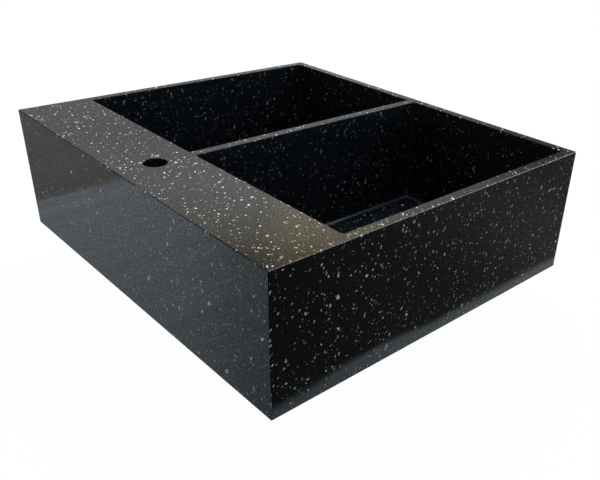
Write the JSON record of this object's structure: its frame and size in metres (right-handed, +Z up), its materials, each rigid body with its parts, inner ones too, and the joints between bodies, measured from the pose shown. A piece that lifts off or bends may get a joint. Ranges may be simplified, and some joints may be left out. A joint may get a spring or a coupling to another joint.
{
  "type": "double bowl kitchen sink",
  "caption": "Block-shaped kitchen sink of polished stone slabs, with side-by-side square bowls, a rear tap deck with a tap hole, and lift-out basket strainers.",
  "frame": {"origin": "middle of the base plane, on the lower edge of the divider, midway between the ends and midway from front to rear", "axes": "+X to the right of someone at the front, +Y to the tap deck at the rear, +Z up"},
  "size_m": [0.7, 0.61, 0.2735],
  "materials": {
    "black_stone": "polished black engineered stone with scattered white and grey chips",
    "adhesive_bead": "satin grey adhesive",
    "stainless_steel": "satin stainless steel",
    "black_rubber": "matt rubber",
    "fibre_washer": "plain pressed fibre",
    "zinc_nut": "dull cast zinc"
  },
  "bodies": {
    "sink": {"front_apron": "black_stone", "rear_apron": "black_stone", "left_end": "black_stone", "right_end": "black_stone", "tap_deck": "black_stone", "bowl_back": "black_stone", "divider": "black_stone", "left_floor": "black_stone", "right_floor": "black_stone", "left_corner_bead": "adhesive_bead", "left_flange_seal": "black_rubber", "left_strainer_body": "stainless_steel", "left_under_gasket": "black_rubber", "left_friction_washer": "fibre_washer", "left_lock_nut": "zinc_nut", "right_corner_bead": "adhesive_bead", "right_flange_seal": "black_rubber", "right_strainer_body": "stainless_steel", "right_under_gasket": "black_rubber", "right_friction_washer": "fibre_washer", "right_lock_nut": "zinc_nut"},
    "left_basket_set": {"left_basket": "stainless_steel", "left_basket_knob": "stainless_steel", "left_stopper": "black_rubber", "left_stopper_nut": "stainless_steel"},
    "right_basket_set": {"right_basket": "stainless_steel", "right_basket_knob": "stainless_steel", "right_stopper": "black_rubber", "right_stopper_nut": "stainless_steel"}
  },
  "joints": [
    {"name": "left_basket_lift", "type": "slide", "parent": "sink", "child": "left_basket_set", "axis": [0, 0, 1], "range_m": [0, 0.26]},
    {"name": "right_basket_lift", "type": "slide", "parent": "sink", "child": "right_basket_set", "axis": [0, 0, 1], "range_m": [0, 0.26]}
  ]
}
